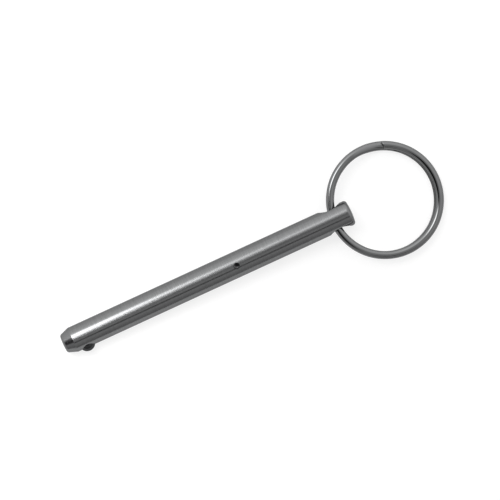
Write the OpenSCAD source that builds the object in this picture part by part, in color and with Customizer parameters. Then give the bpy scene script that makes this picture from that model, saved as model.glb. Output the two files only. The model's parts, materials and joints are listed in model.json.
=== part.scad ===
// Quick release pin: a plain steel shank with one sprung detent ball near the tip, and a two-turn
// split ring that swings in a cross hole near the other end.
// +X runs along the pin from the tip to the ring, +Z is up with the pin lying down, and the ball
// stands out towards -Y. The origin is on the shank's axis at the seat, where the round grip ends.

/* [Shank] */
// Diameter of the shank: a quarter inch pin, made slightly under size
shank_d = 6.3; // [5.8:0.1:8]
// Length from the detent ball's centre to the seat
grip_len = 63.25; // [30:0.25:120]
// Length from the tip to the detent ball's centre
nose_len = 5.35; // [4.8:0.05:9]
// Length of the head end, from the seat to the end face
head_len = 7.6; // [7:0.1:12]
// Length of the tip's chamfer
tip_len = 2.6; // [1.8:0.1:3.2]
// Angle of the tip's chamfer, off the axis
tip_angle = 20; // [12:1:30]
// Rounding of the edge between the chamfer and the tip's face
tip_round = 0.8; // [0.4:0.1:1.4]
// Height of the low crown on the tip's face
tip_crown = 0.09; // [0.05:0.01:0.3]
// Rounding of the head end's rim
rim_round = 0.8; // [0.2:0.1:1.2]
// Height of the low crown on the head end's face
crown_h = 0.17; // [0.05:0.01:0.4]

/* [Spot hole] */
// Distance of the small spot hole from the seat
spot_from_seat = 22.9; // [12:0.1:28]
// Diameter of the spot hole
spot_d = 1.6; // [0.8:0.1:2]
// Depth of the spot hole's straight wall
spot_depth = 1.6; // [0.4:0.1:2]
// Angle of the spot hole from straight up, towards the ball's side
spot_angle = 6; // [0:0.2:40]

/* [Detent ball] */
// Diameter of the ball
ball_d = 3.97; // [3.4:0.01:4.2]
// Height that the ball stands out of the shank
ball_proud = 0.97; // [0.6:0.01:1.2]
// Play between the ball and its hole, on the radius
ball_play = 0.04; // [0.02:0.01:0.08]
// Metal left under the point of the ball's hole
floor_wall = 0.7; // [0.5:0.05:1]

/* [Ball spring] */
// Wire diameter of the spring
spring_wire = 0.25; // [0.2:0.01:0.3]
// Diameter of the spring, between the middles of its wire
spring_d = 2.5; // [2.2:0.1:2.8]
// Turns of the spring, with its two closed ends
spring_turns = 3; // [2.5:0.25:3.5]
// Clearance at each end of the spring
spring_seat = 0.03; // [0.01:0.01:0.06]

/* [Split ring] */
// Outside diameter of the ring
ring_d = 28.4; // [25:0.1:34]
// Width of its half-round wire
wire_w = 1.95; // [1.6:0.05:2.2]
// Thickness of one turn of the wire
wire_t = 1; // [0.8:0.05:1.1]
// Gap between the ring's two turns
turn_gap = 0.06; // [0.04:0.01:0.12]
// Length of the crossing from the upper turn to the lower, in degrees
cross_angle = 36; // [16:1:50]
// Gap beyond each end of the wire, in degrees
end_gap = 2; // [1:0.5:4]
// Angle of the upper turn's end, from the ring's centre line
end_at = 71.4; // [30:0.2:110]
// Most that the lower turn stands inside the upper one
peek = 0.46; // [0:0.02:0.6]
// Angle that the ring lies to one side, about its hole
ring_yaw = 3.6; // [0:0.2:5]

/* [Cross hole] */
// Distance of the hole from the seat
hole_from_seat = 2.9; // [2.6:0.1:3.6]
// Play between the ring and its hole, on the radius
ring_play = 0.1; // [0.05:0.05:0.3]
// Diameter of the countersink at each end of the hole
sink_d = 5.7; // [4.6:0.1:6]
// Angle of the countersinks
sink_angle = 100; // [82:1:120]
// Distance that the countersink on the ball's side is off the hole, towards the head end
near_sink_shift = 0.6; // [0:0.1:0.8]

/* [Hidden] */
shank_r = shank_d / 2;
seat_to_tip = grip_len + nose_len;
point_angle = 118; // of the drills for the ball's hole and the spot hole
point_slope = tan(90 - point_angle / 2);
sink_slope = tan(90 - sink_angle / 2);
cut_past = 1; // how far a cut runs past the surface

// ends of the shank's outline: each edge's round is an arc about a point this far off the axis,
// and the crown is an arc that meets it smoothly, at this lean
tip_r = shank_r - tip_len * tan(tip_angle);
tip_turn = tip_r + (tip_round + tip_crown) * tan(tip_angle) - tip_round / cos(tip_angle);
rim_turn = shank_r - rim_round;
tip_reach = crown_reach(tip_turn, tip_crown);
rim_reach = crown_reach(rim_turn, crown_h);
tip_lean = asin(tip_turn / tip_reach);
rim_lean = asin(rim_turn / rim_reach);
round_steps = 8;

// ball and its hole
ball_r = ball_d / 2;
ball_centre = shank_r + ball_proud - ball_r;
bore_r = ball_r + ball_play;
bore_point = shank_r - floor_wall;
bore_floor = bore_point - bore_r * point_slope;

// spring, with its wire's middle at spring_foot on the hole's cone and at spring_top on the ball
spring_r = spring_d / 2;
wire_r = spring_wire / 2;
spring_foot = bore_point - spring_r * point_slope - (wire_r + spring_seat) / sin(point_angle / 2);
ball_reach = ball_r + wire_r + spring_seat;
spring_top = -ball_centre + sqrt(ball_reach * ball_reach - spring_r * spring_r);
spring_steps = 16; // per turn

// ring, level with the floor under the shank at its far side
ring_r = (ring_d - wire_w) / 2;
turn_h = wire_t + turn_gap / 2;
ring_tilt = asin((shank_r - turn_h) / (2 * ring_r - peek));
ring_step = 4;
wire_end = 720 - cross_angle - end_gap;
peek_at = 447.5; // along the wire, where the lower turn stands furthest inside
peek_before = 200;
peek_after = 105;
widen_start = 324; // along the wire, where it starts to be pressed wider on its inner side
widen_run = 24;
spread_end = 380; // along the wire, where it is back to its plain width after the crossing
spread_run = 20;
turn_run = 20; // along the wire after the crossing, while its dome changes to the lower side
section_sides = 12;

// cross hole, wide enough for the curve and the lean of the wire inside it
ring_bend = shank_r * shank_r / (2 * ring_r) + shank_r * sin(ring_yaw);
hole_r = max(wire_w / 2, turn_h) + ring_bend + ring_play;

$fn = 96;

function arc(x, y, r, from, to) =
    [for (i = [0:round_steps]) let (a = from + (to - from) * i / round_steps)
        [x + r * cos(a), y + r * sin(a)]];

// Distance between the middles of a crown's arc and of its edge's round
function crown_reach(turn, crown) = turn * turn / (2 * crown) + crown / 2;

function smooth(t) = let (c = min(max(t, 0), 1)) c * c * (3 - 2 * c);

// One solid through a list of closed sections, each a list of points
module sweep(sections) {
    n = len(sections[0]);
    last = (len(sections) - 1) * n;
    sides = [for (s = [0:len(sections) - 2], i = [0:n - 1])
        let (j = (i + 1) % n, a = s * n, b = a + n)
        each [[a + i, a + j, b + j], [a + i, b + j, b + i]]];
    start = [for (i = [n - 1:-1:0]) i];
    end = [for (i = [0:n - 1]) last + (i + n / 2) % n];
    polyhedron(points = [for (s = sections) each s], faces = concat(sides, [start, end]));
}

// The shank's outline: radius outwards and length upwards, from the tip to the head end
module shank_outline() {
    tip_crown_r = tip_reach + tip_round;
    rim_crown_r = rim_reach + rim_round;
    polygon(concat(
        arc(0, tip_crown_r - seat_to_tip, tip_crown_r, -90, tip_lean - 90),
        arc(tip_turn, tip_round + tip_crown - seat_to_tip, tip_round, tip_lean - 90, -tip_angle),
        [[shank_r, tip_len - seat_to_tip]],
        arc(rim_turn, head_len - rim_round - crown_h, rim_round, 0, 90 - rim_lean),
        arc(0, head_len - rim_crown_r, rim_crown_r, 90 - rim_lean, 90)));
}

// Blind hole for the ball, pointing along +Z, with a rim staked over the ball
module ball_hole() {
    rotate_extrude()
        intersection() {
            union() {
                translate([0, ball_centre]) circle(bore_r);
                translate([0, -bore_floor]) square([bore_r, ball_centre + bore_floor]);
                polygon([[0, -bore_point], [bore_r, -bore_floor], [0, -bore_floor]]);
            }
            translate([0, -shank_d]) square([bore_r + cut_past, 3 * shank_d]);
        }
}

// A conical mouth at the shank's surface, pointing along +Z
module countersink() {
    depth = sink_d / 2 * sink_slope;
    translate([0, 0, shank_r - depth])
        cylinder(h = depth + cut_past, r1 = 0, r2 = (depth + cut_past) / sink_slope);
}

// Small blind hole with a drill point, pointing along +Z
module spot_hole() {
    point = spot_d / 2 * point_slope;
    translate([0, 0, shank_r - spot_depth]) {
        cylinder(h = spot_depth + cut_past, d = spot_d);
        translate([0, 0, -point]) cylinder(h = point, r1 = 0, d2 = spot_d);
    }
}

module shank() {
    color([0.52, 0.52, 0.53])
        difference() {
            rotate([0, 90, 0]) rotate_extrude() shank_outline();
            translate([-grip_len, 0, 0]) rotate([90, 0, 0]) ball_hole();
            translate([-spot_from_seat, 0, 0]) rotate([spot_angle, 0, 0]) spot_hole();
            translate([hole_from_seat, 0, 0]) {
                rotate([90, 0, 0]) cylinder(h = 2 * shank_d, r = hole_r, center = true);
                rotate([-90, 0, 0]) countersink();
                translate([near_sink_shift, 0, 0]) rotate([90, 0, 0]) countersink();
            }
        }
}

module detent_ball() {
    color([0.3, 0.3, 0.31]) translate([-grip_len, -ball_centre, 0]) sphere(ball_r);
}

// Height of the spring's wire at a share of its length: it rises less steeply near both ends
function spring_rise(share) = (2 * share + smooth(share)) / 3;

// Cross section of the spring's wire at a turn angle
function spring_section(a) =
    let (y = spring_foot + (spring_top - spring_foot) * spring_rise(a / (360 * spring_turns)))
    [for (i = [0:7]) let (b = -45 * i, r = spring_r + wire_r * cos(b))
        [r * cos(a), y + wire_r * sin(b), r * sin(a)]];

module ball_spring() {
    steps = round(spring_turns * spring_steps);
    color([0.45, 0.45, 0.46])
        translate([-grip_len, 0, 0])
            sweep([for (i = [0:steps]) spring_section(360 * spring_turns * i / steps)]);
}

// Share of the way from the upper turn to the lower, at an angle along the wire
function crossed(u) = smooth((u - 360 + cross_angle) / (cross_angle - end_gap));

// Share of the wire's dome that lies below its flat, at an angle along the wire
function turned(u) = smooth((u - 360) / turn_run);

// Distance that the wire stands inside the upper turn's circle
function inside(u) =
    let (off = u - peek_at, reach = off < 0 ? peek_before : peek_after)
    abs(off) < reach ? peek * smooth((u - widen_start) / widen_run) * pow(cos(90 * off / reach), 2) : 0;

// Extra width of the wire, which is pressed wider as it crosses and keeps its outer edge there
function spread(u) = inside(u) * smooth((spread_end - u) / spread_run);

// Cross section of the ring's wire. Its dome stays on top until it's under the upper turn's end, and
// changes there to the lower side.
function ring_section(u) =
    let (down = crossed(u), below = turned(u), wide = spread(u), r = ring_r - inside(u) + wide / 2,
        flat = turn_gap * (0.5 - down) - wire_t * (down - below), a = end_at - u)
    [for (i = [0:section_sides - 1])
        let (b = 90 - 360 * i / section_sides, x = r + (wire_w + wide) / 2 * cos(b),
            z = flat + sin(b) * wire_t * (sin(b) > 0 ? 1 - below : below))
        [x * cos(a), x * sin(a), z]];

module split_ring() {
    steps = ceil(wire_end / ring_step);
    color([0.46, 0.46, 0.47])
        translate([hole_from_seat, 0, 0])
            rotate([0, ring_tilt, 0])
                rotate([0, 0, -ring_yaw])
                    translate([ring_r, 0, 0])
                        sweep([for (i = [0:steps]) ring_section(wire_end * i / steps)]);
}

shank();
detent_ball();
ball_spring();
split_ring();
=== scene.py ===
"""Looks of the quick release pin: a ground steel shank, its detent ball and spring, and a split ring.

Lengths are in metres. The row frame has +X along the pin towards the ring and the ball towards -Y.
"""
import json
import math

import bpy
from mathutils import Matrix, Vector


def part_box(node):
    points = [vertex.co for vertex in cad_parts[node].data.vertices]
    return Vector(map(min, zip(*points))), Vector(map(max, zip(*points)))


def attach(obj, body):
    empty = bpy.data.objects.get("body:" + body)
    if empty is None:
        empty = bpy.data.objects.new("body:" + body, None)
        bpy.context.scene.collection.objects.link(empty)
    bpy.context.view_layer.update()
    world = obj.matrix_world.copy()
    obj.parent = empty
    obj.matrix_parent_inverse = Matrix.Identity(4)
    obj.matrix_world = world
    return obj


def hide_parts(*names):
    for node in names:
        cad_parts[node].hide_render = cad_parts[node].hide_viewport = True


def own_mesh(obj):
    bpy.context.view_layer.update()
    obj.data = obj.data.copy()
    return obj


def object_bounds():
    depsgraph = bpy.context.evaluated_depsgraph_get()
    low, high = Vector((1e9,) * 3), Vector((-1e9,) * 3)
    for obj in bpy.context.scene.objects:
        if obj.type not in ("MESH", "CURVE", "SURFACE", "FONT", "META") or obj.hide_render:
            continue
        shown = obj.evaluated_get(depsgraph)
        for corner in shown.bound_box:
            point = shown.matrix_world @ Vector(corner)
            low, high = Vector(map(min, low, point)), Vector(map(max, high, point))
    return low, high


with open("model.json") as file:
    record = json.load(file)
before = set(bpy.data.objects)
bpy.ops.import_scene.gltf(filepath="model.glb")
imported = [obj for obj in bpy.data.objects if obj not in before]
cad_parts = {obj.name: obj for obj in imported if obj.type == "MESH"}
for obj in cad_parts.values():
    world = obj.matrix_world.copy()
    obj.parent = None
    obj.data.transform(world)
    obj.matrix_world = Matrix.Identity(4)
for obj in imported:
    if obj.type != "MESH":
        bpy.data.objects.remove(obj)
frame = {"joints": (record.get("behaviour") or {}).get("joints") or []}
cad_lo, cad_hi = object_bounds()

MM = 0.001
TINY = 1e-9

# Places and sizes from the frame
shank_lo, shank_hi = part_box("shank")
ball_lo, ball_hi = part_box("detent_ball")
spring_lo, spring_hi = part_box("ball_spring")
JOINTS = {joint["name"]: joint for joint in frame["joints"]}
HOLE_X = JOINTS["ring_swing"]["pos_m"][0]
SHANK_R = shank_hi.z
BALL_R = (ball_hi.x - ball_lo.x) / 2
BALL_X = (ball_hi.x + ball_lo.x) / 2
BALL_Y = (ball_hi.y + ball_lo.y) / 2

# The shank's own sizes, as in the part's source
TIP_LEN = 2.6 * MM
TIP_ANGLE = math.radians(20)
TIP_ROUND = 0.8 * MM
TIP_CROWN = 0.09 * MM
RIM_ROUND = 0.8 * MM
RIM_CROWN = 0.17 * MM
BALL_PLAY = 0.04 * MM
FLOOR_WALL = 0.7 * MM
POINT_ANGLE = 118
POINT_SLOPE = math.tan(math.radians(90 - POINT_ANGLE / 2))
SPOT_X = -22.9 * MM
SPOT_R = 0.8 * MM
SPOT_DEPTH = 1.6 * MM
SPOT_ANGLE = math.radians(6)
RING_PLAY = 0.1 * MM
SINK_R = 2.85 * MM
SINK_ANGLE = 100
SINK_SLOPE = math.tan(math.radians(90 - SINK_ANGLE / 2))
NEAR_SINK_SHIFT = 0.6 * MM
CUT_PAST = 1 * MM

# The ring's own sizes, as in the part's source. Angles along the wire are in degrees.
RING_D = 28.4 * MM
WIRE_W = 1.95 * MM
WIRE_T = 1 * MM
TURN_GAP = 0.06 * MM
RING_R = (RING_D - WIRE_W) / 2
RING_YAW = math.radians(3.6)
PEEK = 0.46 * MM
CROSS_ANGLE = 36
END_GAP = 2
END_AT = 71.4
WIRE_END = 720 - CROSS_ANGLE - END_GAP
PEEK_AT = 447.5
PEEK_BEFORE = 200
PEEK_AFTER = 105
WIDEN_START = 324
WIDEN_RUN = 24
SPREAD_END = 380
SPREAD_RUN = 20
TURN_RUN = 20
RING_BEND = SHANK_R ** 2 / (2 * RING_R) + SHANK_R * math.sin(RING_YAW)
HOLE_R = max(WIRE_W / 2, WIRE_T + TURN_GAP / 2) + RING_BEND + RING_PLAY

# What the scene adds to the wire: rounded edges, rolled ends and the slant of the upper end's cut
WIRE_EDGE = 0.12 * MM
END_ROLL = 0.25 * MM
END_LEFT = 0.4
END_SKEW = 1.7
SKEW_RUN = 6
LEAST_HEIGHT = 0.0001 * MM

# The spring's own sizes, as in the part's source
SPRING_WIRE_R = 0.125 * MM
SPRING_TURNS = 3


# ---------------------------------------------------------------- meshes

def smooth(t):
    """A step from 0 to 1 that starts and ends gently."""
    c = min(max(t, 0), 1)
    return c * c * (3 - 2 * c)


def make_object(name, verts, faces, shade_smooth=True):
    """An object in the scene, from its corners and its faces."""
    mesh = bpy.data.meshes.new(name)
    mesh.from_pydata([tuple(v) for v in verts], [], faces)
    mesh.validate()
    mesh.update()
    if shade_smooth:
        mesh.shade_smooth()
    obj = bpy.data.objects.new(name, mesh)
    bpy.context.scene.collection.objects.link(obj)
    return obj


def line(start, end):
    """A straight stretch of a turned outline, from one (radius, height) to the next."""
    direction = (Vector(end) - Vector(start)).normalized()
    return {"points": [Vector(start), Vector(end)], "normal": lambda p: Vector((direction.y, -direction.x))}


def arc(centre, radius, start, end, steps=16):
    """A round stretch of a turned outline, between two angles in degrees."""
    middle = Vector(centre)
    angles = [math.radians(start + (end - start) * i / steps) for i in range(steps + 1)]
    points = [middle + radius * Vector((math.cos(a), math.sin(a))) for a in angles]
    return {"points": points, "normal": lambda p: (p - middle).normalized()}


def lathe(name, outline, place, segments):
    """A solid turned about its own Z from an outline that starts and ends on the axis."""
    points = []
    for stretch in outline:
        for p in stretch["points"]:
            if not points or (p - points[-1]).length > TINY:
                points.append(p)
    inner = points[1:-1]
    verts = [place @ Vector((0, 0, points[0].y))]
    for p in inner:
        for s in range(segments):
            a = 2 * math.pi * s / segments
            verts.append(place @ Vector((p.x * math.cos(a), p.x * math.sin(a), p.y)))
    verts.append(place @ Vector((0, 0, points[-1].y)))
    last = len(verts) - 1
    faces = [(0, 1 + (s + 1) % segments, 1 + s) for s in range(segments)]
    for ring in range(len(inner) - 1):
        base = 1 + ring * segments
        for s in range(segments):
            t = (s + 1) % segments
            faces.append((base + s, base + t, base + segments + t, base + segments + s))
    top = 1 + (len(inner) - 1) * segments
    faces += [(last, top + s, top + (s + 1) % segments) for s in range(segments)]
    return make_object(name, verts, faces)


def distance_to(p, stretch):
    """How far a (radius, height) point is from a stretch of an outline."""
    best = math.inf
    for a, b in zip(stretch["points"], stretch["points"][1:]):
        along = b - a
        share = max(0, min(1, (p - a).dot(along) / max(along.length_squared, TINY ** 2)))
        best = min(best, (p - a - share * along).length)
    return best


def turned_normal(p, place, outline, about, sign):
    """The true normal at p of the turned surface on which the point `about` lies, out (1) or in (-1)."""
    local, middle = place.inverted() @ p, place.inverted() @ about
    flat = Vector((math.hypot(middle.x, middle.y), middle.z))
    stretch = min(outline, key=lambda s: distance_to(flat, s))
    radius = math.hypot(local.x, local.y)
    out = Vector((local.x, local.y, 0)) / radius if radius > TINY else Vector((1, 0, 0))
    n = stretch["normal"](Vector((radius, local.z)))
    return sign * (place.to_3x3() @ (out * n.x + Vector((0, 0, n.y))))


# ---------------------------------------------------------------- shank

def crown_arc(turn, crown, edge_round):
    """Radius and lean, in degrees, of a face's crown, which meets its edge's round smoothly."""
    reach = turn ** 2 / (2 * crown) + crown / 2
    return reach + edge_round, math.degrees(math.asin(turn / reach))


def shank_outline():
    """From the tip's end face to the crown of the head end, with heights along the pin."""
    tip, end = shank_lo.x, shank_hi.x
    tip_r = SHANK_R - TIP_LEN * math.tan(TIP_ANGLE)
    tip_turn = tip_r + (TIP_ROUND + TIP_CROWN) * math.tan(TIP_ANGLE) - TIP_ROUND / math.cos(TIP_ANGLE)
    rim_turn = SHANK_R - RIM_ROUND
    tip_crown_r, tip_lean = crown_arc(tip_turn, TIP_CROWN, TIP_ROUND)
    rim_crown_r, rim_lean = crown_arc(rim_turn, RIM_CROWN, RIM_ROUND)
    face = arc((0, tip + tip_crown_r), tip_crown_r, -90, tip_lean - 90)
    nose = arc((tip_turn, tip + TIP_ROUND + TIP_CROWN), TIP_ROUND, tip_lean - 90, -math.degrees(TIP_ANGLE))
    rim = arc((rim_turn, end - RIM_ROUND - RIM_CROWN), RIM_ROUND, 0, 90 - rim_lean)
    crown = arc((0, end - rim_crown_r), rim_crown_r, 90 - rim_lean, 90)
    shoulder = (SHANK_R, tip + TIP_LEN)
    return [
        face,
        nose,
        line(nose["points"][-1], shoulder),
        line(shoulder, rim["points"][0]),
        rim,
        crown,
    ]


def ball_hole_outline():
    """The ball's blind hole, whose mouth is closed in round the ball."""
    bore_r = BALL_R + BALL_PLAY
    point = FLOOR_WALL - SHANK_R
    floor = point + bore_r * POINT_SLOPE
    middle = -BALL_Y
    return [
        line((0, point), (bore_r, floor)),
        line((bore_r, floor), (bore_r, middle)),
        arc((0, middle), bore_r, 0, 90, steps=32),
    ]


def drill_outline(radius, depth):
    """A blind hole with a drilled point, down from the shank's surface."""
    floor = SHANK_R - depth
    top = SHANK_R + CUT_PAST
    return [
        line((0, floor - radius * POINT_SLOPE), (radius, floor)),
        line((radius, floor), (radius, top)),
        line((radius, top), (0, top)),
    ]


def sink_outline():
    """A countersink, down from the shank's surface to its point."""
    depth = SINK_R * SINK_SLOPE
    top = SHANK_R + CUT_PAST
    wide = (depth + CUT_PAST) / SINK_SLOPE
    return [
        line((0, SHANK_R - depth), (wide, top)),
        line((wide, top), (0, top)),
    ]


def through_outline(radius):
    """A hole right through the shank."""
    half = SHANK_R + CUT_PAST
    return [
        line((0, -half), (radius, -half)),
        line((radius, -half), (radius, half)),
        line((radius, half), (0, half)),
    ]


def facing(x, angle):
    """A place on the shank's axis at x, with Z turned about X by an angle from straight up."""
    return Matrix.Translation((x, 0, 0)) @ Matrix.Rotation(angle, 4, "X")


def shank_solids():
    """The turned body and the solids cut out of it: name, outline, place and number of sides."""
    along = Matrix.Rotation(math.pi / 2, 4, "Y")
    to_ball, from_ball = math.pi / 2, -math.pi / 2
    return [
        ("shank_body", shank_outline(), along, 256),
        ("ball_bore", ball_hole_outline(), facing(BALL_X, to_ball), 128),
        ("spot_drill", drill_outline(SPOT_R, SPOT_DEPTH), facing(SPOT_X, SPOT_ANGLE), 64),
        ("ring_drill", through_outline(HOLE_R), facing(HOLE_X, to_ball), 96),
        ("far_sink", sink_outline(), facing(HOLE_X, from_ball), 96),
        ("near_sink", sink_outline(), facing(HOLE_X + NEAR_SINK_SHIFT, to_ball), 96),
    ]


def cut_from_first(solids):
    """A mesh of the first solid less the others, and for each of its faces the solid that it comes from."""
    marks = [bpy.data.materials.new("cut_" + name) for name, _, _, _ in solids]
    made = []
    for index, (name, outline, place, segments) in enumerate(solids):
        obj = lathe(name, outline, place, segments)
        for mark in marks:
            obj.data.materials.append(mark)
        for face in obj.data.polygons:
            face.material_index = index
        made.append(obj)
    body = made[0]
    for cutter in made[1:]:
        cut = body.modifiers.new(cutter.name, "BOOLEAN")
        cut.operation = "DIFFERENCE"
        cut.solver = "EXACT"
        cut.material_mode = "INDEX"
        cut.object = cutter
    graph = bpy.context.evaluated_depsgraph_get()
    mesh = bpy.data.meshes.new_from_object(body.evaluated_get(graph))
    sources = [face.material_index for face in mesh.polygons]
    for obj in made:
        bpy.data.objects.remove(obj)
    mesh.materials.clear()
    for mark in marks:
        bpy.data.materials.remove(mark)
    return mesh, sources


def build_shank():
    """The shank, which shades as the true turned surfaces do, with rougher steel where it is drilled."""
    solids = shank_solids()
    mesh, sources = cut_from_first(solids)
    mesh.name = "ground_shank"
    normals = []
    for face, source in zip(mesh.polygons, sources):
        _, outline, place, _ = solids[source]
        sign = 1 if source == 0 else -1
        for index in face.vertices:
            p = mesh.vertices[index].co
            normals.append(turned_normal(p, place, outline, face.center, sign))
    mesh.shade_smooth()
    mesh.normals_split_custom_set(normals)
    mesh.materials.append(ground_steel())
    mesh.materials.append(drilled_steel())
    for face, source in zip(mesh.polygons, sources):
        face.material_index = 0 if source == 0 else 1
    shank = bpy.data.objects.new("ground_shank", mesh)
    bpy.context.scene.collection.objects.link(shank)
    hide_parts("shank")
    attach(shank, "pin")


# ---------------------------------------------------------------- ball, spring and ring

def sweep(name, sections):
    """A closed tube through a list of sections, with flat ends."""
    n = len(sections[0])
    last = (len(sections) - 1) * n
    faces = []
    for s in range(len(sections) - 1):
        a, b = s * n, (s + 1) * n
        faces += [(a + i, b + i, b + (i + 1) % n, a + (i + 1) % n) for i in range(n)]
    faces.append(tuple(range(n)))
    faces.append(tuple(last + i for i in reversed(range(n))))
    return make_object(name, [p for section in sections for p in section], faces)


def build_ball():
    """The ball, at rest against the closed-in mouth of its hole."""
    place = Matrix.Translation((BALL_X, BALL_Y, 0))
    ball = lathe("polished_ball", [arc((0, 0), BALL_R, -90, 90, steps=64)], place, 128)
    ball.data.materials.append(ball_steel())
    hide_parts("detent_ball")
    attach(ball, "ball")


def spring_rise(share):
    """Share of the spring's height at a share of its wire, whose turns lie flatter at both ends."""
    return (2 * share + smooth(share)) / 3


def build_spring():
    """The coil behind the ball, from the ball down towards the hole's floor."""
    middle_r = (spring_hi.z - spring_lo.z) / 2 - SPRING_WIRE_R
    low, high = spring_lo.y + SPRING_WIRE_R, spring_hi.y - SPRING_WIRE_R
    steps, sides = 48 * SPRING_TURNS, 16
    sections = []
    for i in range(steps + 1):
        share = i / steps
        a = 2 * math.pi * SPRING_TURNS * share
        y = high + (low - high) * spring_rise(share)
        section = []
        for k in range(sides):
            b = -2 * math.pi * k / sides
            r = middle_r + SPRING_WIRE_R * math.cos(b)
            rise = SPRING_WIRE_R * math.sin(b)
            section.append(Vector((BALL_X + r * math.cos(a), y + rise, r * math.sin(a))))
        sections.append(section)
    spring = sweep("coiled_spring", sections)
    spring.data.materials.append(spring_steel())
    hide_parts("ball_spring")
    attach(spring, "pin")
    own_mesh(spring)


def crossed(u):
    """Share of the way from the upper turn to the lower, at an angle along the wire."""
    return smooth((u - 360 + CROSS_ANGLE) / (CROSS_ANGLE - END_GAP))


def turned(u):
    """Share of the dome that lies below the wire's flat, once it is under the upper turn."""
    return smooth((u - 360) / TURN_RUN)


def inside(u):
    """How far the wire stands inside the upper turn's circle."""
    off = u - PEEK_AT
    reach = PEEK_BEFORE if off < 0 else PEEK_AFTER
    if abs(off) >= reach:
        return 0
    return PEEK * smooth((u - WIDEN_START) / WIDEN_RUN) * math.cos(math.radians(90 * off / reach)) ** 2


def spread(u):
    """Extra width of the wire, which keeps its outer edge where it crosses."""
    return inside(u) * smooth((SPREAD_END - u) / SPREAD_RUN)


def rolled(u):
    """Share of its thickness that the wire keeps near its two cut ends, whose edges are rolled over."""
    from_end = math.radians(min(u, WIRE_END - u)) * RING_R
    off = 1 - min(from_end / END_ROLL, 1)
    return END_LEFT + (1 - END_LEFT) * math.sqrt(1 - off * off)


def half_round(beta, half_width, height):
    """The point with normal angle beta on half an ellipse that leaves room for the wire's rounded edge."""
    wide = half_width - WIRE_EDGE
    c, s = math.cos(beta), math.sin(beta)
    size = math.sqrt((wide * c) ** 2 + (height * s) ** 2)
    return Vector((wide * wide * c, height * height * s)) / size


def ring_section(u, sides=48):
    """Points round the wire at an angle along it: a dome on one side of its flat, then on the other."""
    down, below = crossed(u), turned(u)
    wide = spread(u)
    r = RING_R - inside(u) + wide / 2
    dome = WIRE_T - 2 * WIRE_EDGE
    flat = TURN_GAP * (0.5 - down) + WIRE_EDGE - WIRE_T * down + dome * below
    bulge = dome * rolled(u)
    skew = END_SKEW * (1 - smooth(u / SKEW_RUN))
    section = []
    # the side that is flat is a dome of almost no height
    for k in range(sides):
        beta = 2 * math.pi * (k + 0.5) / sides
        edge = WIRE_EDGE * Vector((math.cos(beta), math.sin(beta)))
        height = max(bulge * (1 - below if math.sin(beta) > 0 else below), LEAST_HEIGHT)
        p = half_round(beta, (WIRE_W + wide) / 2, height) + edge
        a = math.radians(END_AT - u + skew * p.x / (WIRE_W / 2))
        section.append(Vector(((r + p.x) * math.cos(a), (r + p.x) * math.sin(a), flat + p.y)))
    return section


def build_ring():
    """The split ring, whose sections lie closer together near the wire's two ends."""
    tilt = math.asin((SHANK_R - WIRE_T - TURN_GAP / 2) / (2 * RING_R - PEEK))
    place = (Matrix.Translation((HOLE_X, 0, 0)) @ Matrix.Rotation(tilt, 4, "Y")
             @ Matrix.Rotation(-RING_YAW, 4, "Z") @ Matrix.Translation((RING_R, 0, 0)))
    # the wire's first two steps and its last two are divided unevenly
    steps, end_steps = 560, 8
    step = WIRE_END / steps
    near_end = [2 * step * (i / end_steps) ** 2 for i in range(end_steps)]
    along = near_end + [step * i for i in range(2, steps - 1)] + [WIRE_END - u for u in reversed(near_end)]
    sections = [[place @ p for p in ring_section(u)] for u in along]
    ring = sweep("wound_ring", sections)
    for end_face in ring.data.polygons[-2:]:
        end_face.use_smooth = False
    ring.data.materials.append(ring_steel())
    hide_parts("split_ring")
    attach(ring, "ring")


# ---------------------------------------------------------------- materials

def node(tree, kind, **values):
    """A new node, with numbers for its sockets and settings for itself."""
    made = tree.nodes.new(kind)
    for name, value in values.items():
        if name in made.inputs:
            made.inputs[name].default_value = value
        else:
            setattr(made, name, value)
    return made


def new_material(name, **values):
    """A metal with a Principled shader whose plain numbers sit on its own sockets."""
    material = bpy.data.materials.new(name)
    material.use_nodes = True
    tree = material.node_tree
    shader = tree.nodes["Principled BSDF"]
    shader.inputs["Metallic"].default_value = 1
    shader.inputs["Specular Tint"].default_value = (0.55, 0.55, 0.55, 1)
    for socket, value in values.items():
        shader.inputs[socket].default_value = value
    return material, tree, shader


def stretched_noise(tree, scale, detail):
    """Noise with so many waves a metre along each of the object's axes."""
    where = node(tree, "ShaderNodeTexCoord")
    mapping = node(tree, "ShaderNodeMapping", Scale=scale)
    noise = node(tree, "ShaderNodeTexNoise", Scale=1.0, Detail=detail)
    tree.links.new(where.outputs["Object"], mapping.inputs["Vector"])
    tree.links.new(mapping.outputs["Vector"], noise.inputs["Vector"])
    return noise.outputs["Fac"]


def uneven_gloss(tree, shader, source, low, high):
    """Roughness that a noise moves between two levels."""
    noise_low, noise_high = 0.25, 0.75
    mapped = node(tree, "ShaderNodeMapRange")
    mapped.inputs["From Min"].default_value = noise_low
    mapped.inputs["From Max"].default_value = noise_high
    mapped.inputs["To Min"].default_value = low
    mapped.inputs["To Max"].default_value = high
    shader.inputs["Roughness"].default_value = (low + high) / 2
    tree.links.new(source, mapped.inputs["Value"])
    tree.links.new(mapped.outputs["Result"], shader.inputs["Roughness"])


def tint(tree, shader, source, dark, light):
    """The base colour between two colours, as a noise says."""
    mix = node(tree, "ShaderNodeMix", data_type="RGBA", A=(*dark, 1), B=(*light, 1))
    tree.links.new(source, mix.inputs["Factor"])
    tree.links.new(mix.outputs["Result"], shader.inputs["Base Color"])


def bump(tree, shader, source, strength, depth):
    """Relief of a depth in metres, as a noise says."""
    made = node(tree, "ShaderNodeBump", Strength=strength, Distance=depth)
    tree.links.new(source, made.inputs["Height"])
    tree.links.new(made.outputs["Normal"], shader.inputs["Normal"])


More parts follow.
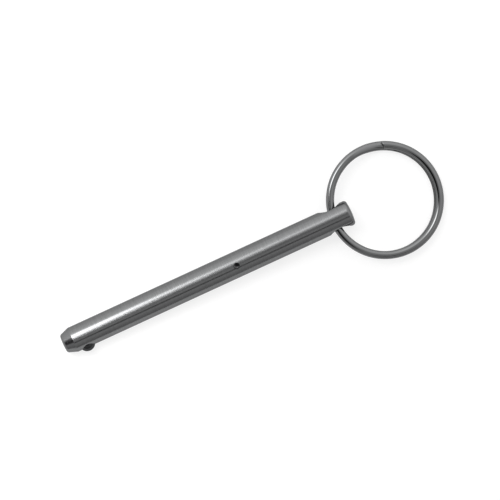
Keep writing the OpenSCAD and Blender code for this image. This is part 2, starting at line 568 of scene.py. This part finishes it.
def ground_steel():
    """Centreless ground steel, whose fine marks run round the shank and blur what it mirrors lengthways."""
    material, tree, shader = new_material("ground_steel", Anisotropic=0.58)
    shader.inputs["Anisotropic Rotation"].default_value = 0.25
    marks = stretched_noise(tree, (4200, 260, 260), 3)
    clouds = stretched_noise(tree, (120, 200, 200), 2)
    tint(tree, shader, marks, (0.138, 0.14, 0.142), (0.197, 0.199, 0.201))
    uneven_gloss(tree, shader, clouds, 0.225, 0.25)
    round_axis = node(tree, "ShaderNodeTangent", direction_type="RADIAL", axis="X")
    tree.links.new(round_axis.outputs["Tangent"], shader.inputs["Tangent"])
    bump(tree, shader, marks, 0.25, 0.000004)
    return material


def drilled_steel():
    """The walls that a drill leaves, rougher and darker than the ground outside."""
    material, tree, shader = new_material("drilled_steel", Roughness=0.38)
    marks = stretched_noise(tree, (1500, 1500, 1500), 3)
    tint(tree, shader, marks, (0.11, 0.111, 0.113), (0.16, 0.161, 0.163))
    bump(tree, shader, marks, 0.3, 0.00001)
    return material


def ball_steel():
    """A hardened, polished ball, whose dark colour is partly painted shade: the shadowed floor under the
    shank that it mirrors.
    """
    material, tree, shader = new_material("ball_steel")
    clouds = stretched_noise(tree, (600, 600, 600), 2)
    # painted shade: the ball's colour is kept very dark to stand in for the shadowed floor it mirrors
    tint(tree, shader, clouds, (0.035, 0.036, 0.037), (0.055, 0.056, 0.057))
    uneven_gloss(tree, shader, clouds, 0.09, 0.16)
    return material


def spring_steel():
    """Plain drawn wire."""
    material, tree, shader = new_material("spring_steel", Roughness=0.3)
    clouds = stretched_noise(tree, (2000, 2000, 2000), 2)
    tint(tree, shader, clouds, (0.18, 0.18, 0.185), (0.26, 0.26, 0.265))
    return material


def ring_steel():
    """Bright drawn wire, with faint scratches and a slightly uneven gloss."""
    material, tree, shader = new_material("ring_steel")
    clouds = stretched_noise(tree, (350, 350, 350), 3)
    scratches = stretched_noise(tree, (1800, 1800, 5200), 2)
    tint(tree, shader, clouds, (0.15, 0.152, 0.154), (0.19, 0.192, 0.194))
    uneven_gloss(tree, shader, scratches, 0.08, 0.14)
    bump(tree, shader, scratches, 0.15, 0.000005)
    return material


# ---------------------------------------------------------------- stage

def build_floor():
    """A pale floor, which rays from the camera and from the metal see as white apart from the shadow."""
    reach = 4
    paper_grey = 0.3
    own_light = 0.74
    corners = [(-reach, -reach, 0), (reach, -reach, 0), (reach, reach, 0), (-reach, reach, 0)]
    floor = make_object("floor", corners, [(0, 1, 2, 3)], shade_smooth=False)
    floor.location.z = cad_lo.z
    material = bpy.data.materials.new("pale_floor")
    material.use_nodes = True
    tree = material.node_tree
    tree.nodes.clear()
    paper = node(tree, "ShaderNodeBsdfDiffuse", Color=(paper_grey, paper_grey, paper_grey, 1))
    white = node(tree, "ShaderNodeEmission", Color=(1, 1, 1, 1))
    ray = node(tree, "ShaderNodeLightPath")
    seen = node(tree, "ShaderNodeMath", operation="MAXIMUM")
    seen_or_through = node(tree, "ShaderNodeMath", operation="MAXIMUM")
    glow = node(tree, "ShaderNodeMath", operation="MULTIPLY")
    glow.inputs[1].default_value = own_light
    both = node(tree, "ShaderNodeAddShader")
    out = node(tree, "ShaderNodeOutputMaterial")
    tree.links.new(ray.outputs["Is Camera Ray"], seen.inputs[0])
    tree.links.new(ray.outputs["Is Glossy Ray"], seen.inputs[1])
    tree.links.new(seen.outputs["Value"], seen_or_through.inputs[0])
    tree.links.new(ray.outputs["Is Transmission Ray"], seen_or_through.inputs[1])
    tree.links.new(seen_or_through.outputs["Value"], glow.inputs[0])
    tree.links.new(glow.outputs["Value"], white.inputs["Strength"])
    tree.links.new(paper.outputs["BSDF"], both.inputs[0])
    tree.links.new(white.outputs["Emission"], both.inputs[1])
    tree.links.new(both.outputs["Shader"], out.inputs["Surface"])
    floor.data.materials.append(material)


def towards(azimuth, from_zenith):
    """A direction at an azimuth from +X and an angle from straight up, in degrees."""
    a, d = math.radians(azimuth), math.radians(from_zenith)
    return Vector((math.sin(d) * math.cos(a), math.sin(d) * math.sin(a), math.cos(d)))


def around(tree, direction, aim, inner, outer, middle, edge, squeeze=(1, 1, 1)):
    """A value that goes from `middle` at one angle off an aim, in degrees, to `edge` at a wider one.

    A squeeze under 1 makes the patch longer along that axis.
    """
    off = node(tree, "ShaderNodeVectorMath", operation="SUBTRACT")
    off.inputs[1].default_value = aim
    scaled = node(tree, "ShaderNodeVectorMath", operation="MULTIPLY")
    scaled.inputs[1].default_value = squeeze
    length = node(tree, "ShaderNodeVectorMath", operation="LENGTH")
    fade = node(tree, "ShaderNodeMapRange", interpolation_type="SMOOTHSTEP")
    fade.inputs["From Min"].default_value = math.radians(inner)
    fade.inputs["From Max"].default_value = math.radians(outer)
    fade.inputs["To Min"].default_value = middle
    fade.inputs["To Max"].default_value = edge
    tree.links.new(direction, off.inputs[0])
    tree.links.new(off.outputs["Vector"], scaled.inputs[0])
    tree.links.new(scaled.outputs["Vector"], length.inputs[0])
    tree.links.new(length.outputs["Value"], fade.inputs["Value"])
    return fade.outputs["Result"]


def build_world():
    """A pale studio, brighter away from the ball, with two glows on that side and dark gaps overhead."""
    world = bpy.data.worlds.new("studio")
    bpy.context.scene.world = world
    world.use_nodes = True
    tree = world.node_tree
    tree.nodes.clear()
    where = node(tree, "ShaderNodeTexCoord")
    direction = where.outputs["Generated"]
    middle_level, slope_level = 0.9, 0.6
    slope = node(tree, "ShaderNodeVectorMath", operation="DOT_PRODUCT")
    slope.inputs[1].default_value = towards(75, 66)
    tree.links.new(direction, slope.inputs[0])
    level = node(tree, "ShaderNodeMath", operation="MULTIPLY_ADD")
    level.inputs[1].default_value = slope_level
    level.inputs[2].default_value = middle_level
    tree.links.new(slope.outputs["Value"], level.inputs[0])
    value = level.outputs["Value"]

    # a wide glow for the shank's long highlight, and a small one for the ring's two highlights
    glows = [
        around(tree, direction, towards(100, 40), 4, 38, 0.5, 0),
        around(tree, direction, towards(121, 34), 6, 17, 4.8, 0),
    ]
    for glow in glows:
        lit = node(tree, "ShaderNodeMath", operation="ADD")
        tree.links.new(value, lit.inputs[0])
        tree.links.new(glow, lit.inputs[1])
        value = lit.outputs["Value"]

    # one gap beyond the tip, two overhead, and a long one on the ball's side for the shank's dark line
    gaps = [
        around(tree, direction, towards(183, 33), 19, 31, 0.02, 1),
        around(tree, direction, towards(0, 0), 1, 8, 0.42, 1),
        around(tree, direction, towards(0, 0), 8, 32, 0.62, 1),
        around(tree, direction, towards(270, 31), 2, 9, 0.04, 1, squeeze=(0.25, 1, 1)),
    ]
    for gap in gaps:
        darker = node(tree, "ShaderNodeMath", operation="MULTIPLY")
        tree.links.new(value, darker.inputs[0])
        tree.links.new(gap, darker.inputs[1])
        value = darker.outputs["Value"]
    back = node(tree, "ShaderNodeBackground", Color=(1, 1, 1, 1))
    out = node(tree, "ShaderNodeOutputWorld")
    tree.links.new(value, back.inputs["Strength"])
    tree.links.new(back.outputs["Background"], out.inputs["Surface"])


def build_key():
    """One soft box with a narrow spread, which makes the long highlight brightest near the tip."""
    wide, deep = 0.056, 0.22
    brightness = 1.4
    spread_angle = math.radians(59)
    roll = math.radians(-11.7)
    place = Vector((shank_lo.x - 0.019, 0.0837, 0.1726))
    aim = Vector((shank_lo.x - 0.023, 0.0247, 0))
    data = bpy.data.lights.new("soft_box", "AREA")
    data.shape = "RECTANGLE"
    data.size, data.size_y = wide, deep
    data.energy = brightness * math.pi * wide * deep
    data.spread = spread_angle
    key = bpy.data.objects.new("soft_box", data)
    bpy.context.scene.collection.objects.link(key)
    key.location = place
    key.rotation_euler = (aim - place).to_track_quat("-Z", "Y").to_euler()
    key.rotation_euler.rotate_axis("Z", roll)


def build_camera():
    """Straight overhead through a long lens, turned so that the pin points up to the right."""
    middle_x, middle_y = -18.39 * MM, 1.81 * MM
    seen_width = 120 * MM
    turn = math.radians(-24.7)
    data = bpy.data.cameras.new("camera")
    data.lens = 1000
    data.sensor_width = 36
    data.clip_end = 20
    camera = bpy.data.objects.new("camera", data)
    bpy.context.scene.collection.objects.link(camera)
    camera.location = Vector((middle_x, middle_y, seen_width * data.lens / data.sensor_width))
    camera.rotation_euler = (0, 0, turn)
    bpy.context.scene.camera = camera


bpy.context.scene.view_settings.view_transform = "Standard"
build_camera()
build_world()
build_key()
build_floor()
build_shank()
build_ball()
build_spring()
build_ring()
